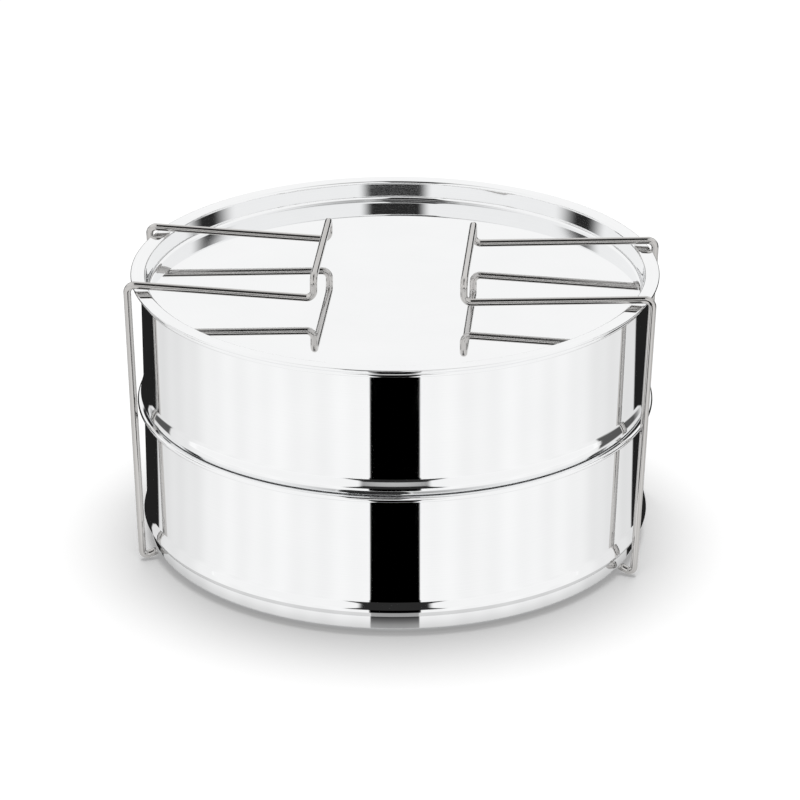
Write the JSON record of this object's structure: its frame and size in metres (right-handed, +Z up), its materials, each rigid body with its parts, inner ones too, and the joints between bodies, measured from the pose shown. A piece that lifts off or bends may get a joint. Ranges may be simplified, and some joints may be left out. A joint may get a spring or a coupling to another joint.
{
  "type": "pressure cooker separator",
  "caption": "Stack of round polished steel steaming pans under a dished lid, clamped by bent-wire bails that hook under the lowest pan and double as lifting grips.",
  "frame": {"origin": "centre of the lower pan's flat base, on the surface it stands on", "axes": "+Z up along the stack's axis; the bails stand on the -X and +X sides and their grips run along Y"},
  "size_m": [0.213, 0.213, 0.123],
  "materials": {
    "polished_sheet": "mirror-polished stainless steel sheet",
    "polished_lid": "mirror-polished stainless steel sheet",
    "satin_wire": "satin drawn stainless steel wire"
  },
  "bodies": {
    "lower_container": {"lower_container": "polished_sheet"},
    "upper_container": {"upper_container": "polished_sheet"},
    "lid": {"lid": "polished_lid"},
    "left_bail": {"left_bail": "satin_wire"},
    "right_bail": {"right_bail": "satin_wire"}
  },
  "joints": [
    {"name": "left_bail_swing", "type": "hinge", "parent": "lower_container", "child": "left_bail", "pos_m": [-0.09825, 0, 0.0027], "axis": [0, -1, 0], "range_deg": [0, 50]},
    {"name": "right_bail_swing", "type": "hinge", "parent": "lower_container", "child": "right_bail", "pos_m": [0.09825, 0, 0.0027], "axis": [0, 1, 0], "range_deg": [0, 50]},
    {"name": "upper_container_turn", "type": "hinge", "parent": "lower_container", "child": "upper_container", "pos_m": [0, 0, 0.0605], "axis": [0, 0, 1], "continuous": true},
    {"name": "lid_turn", "type": "hinge", "parent": "upper_container", "child": "lid", "pos_m": [0, 0, 0.1128], "axis": [0, 0, 1], "continuous": true}
  ]
}
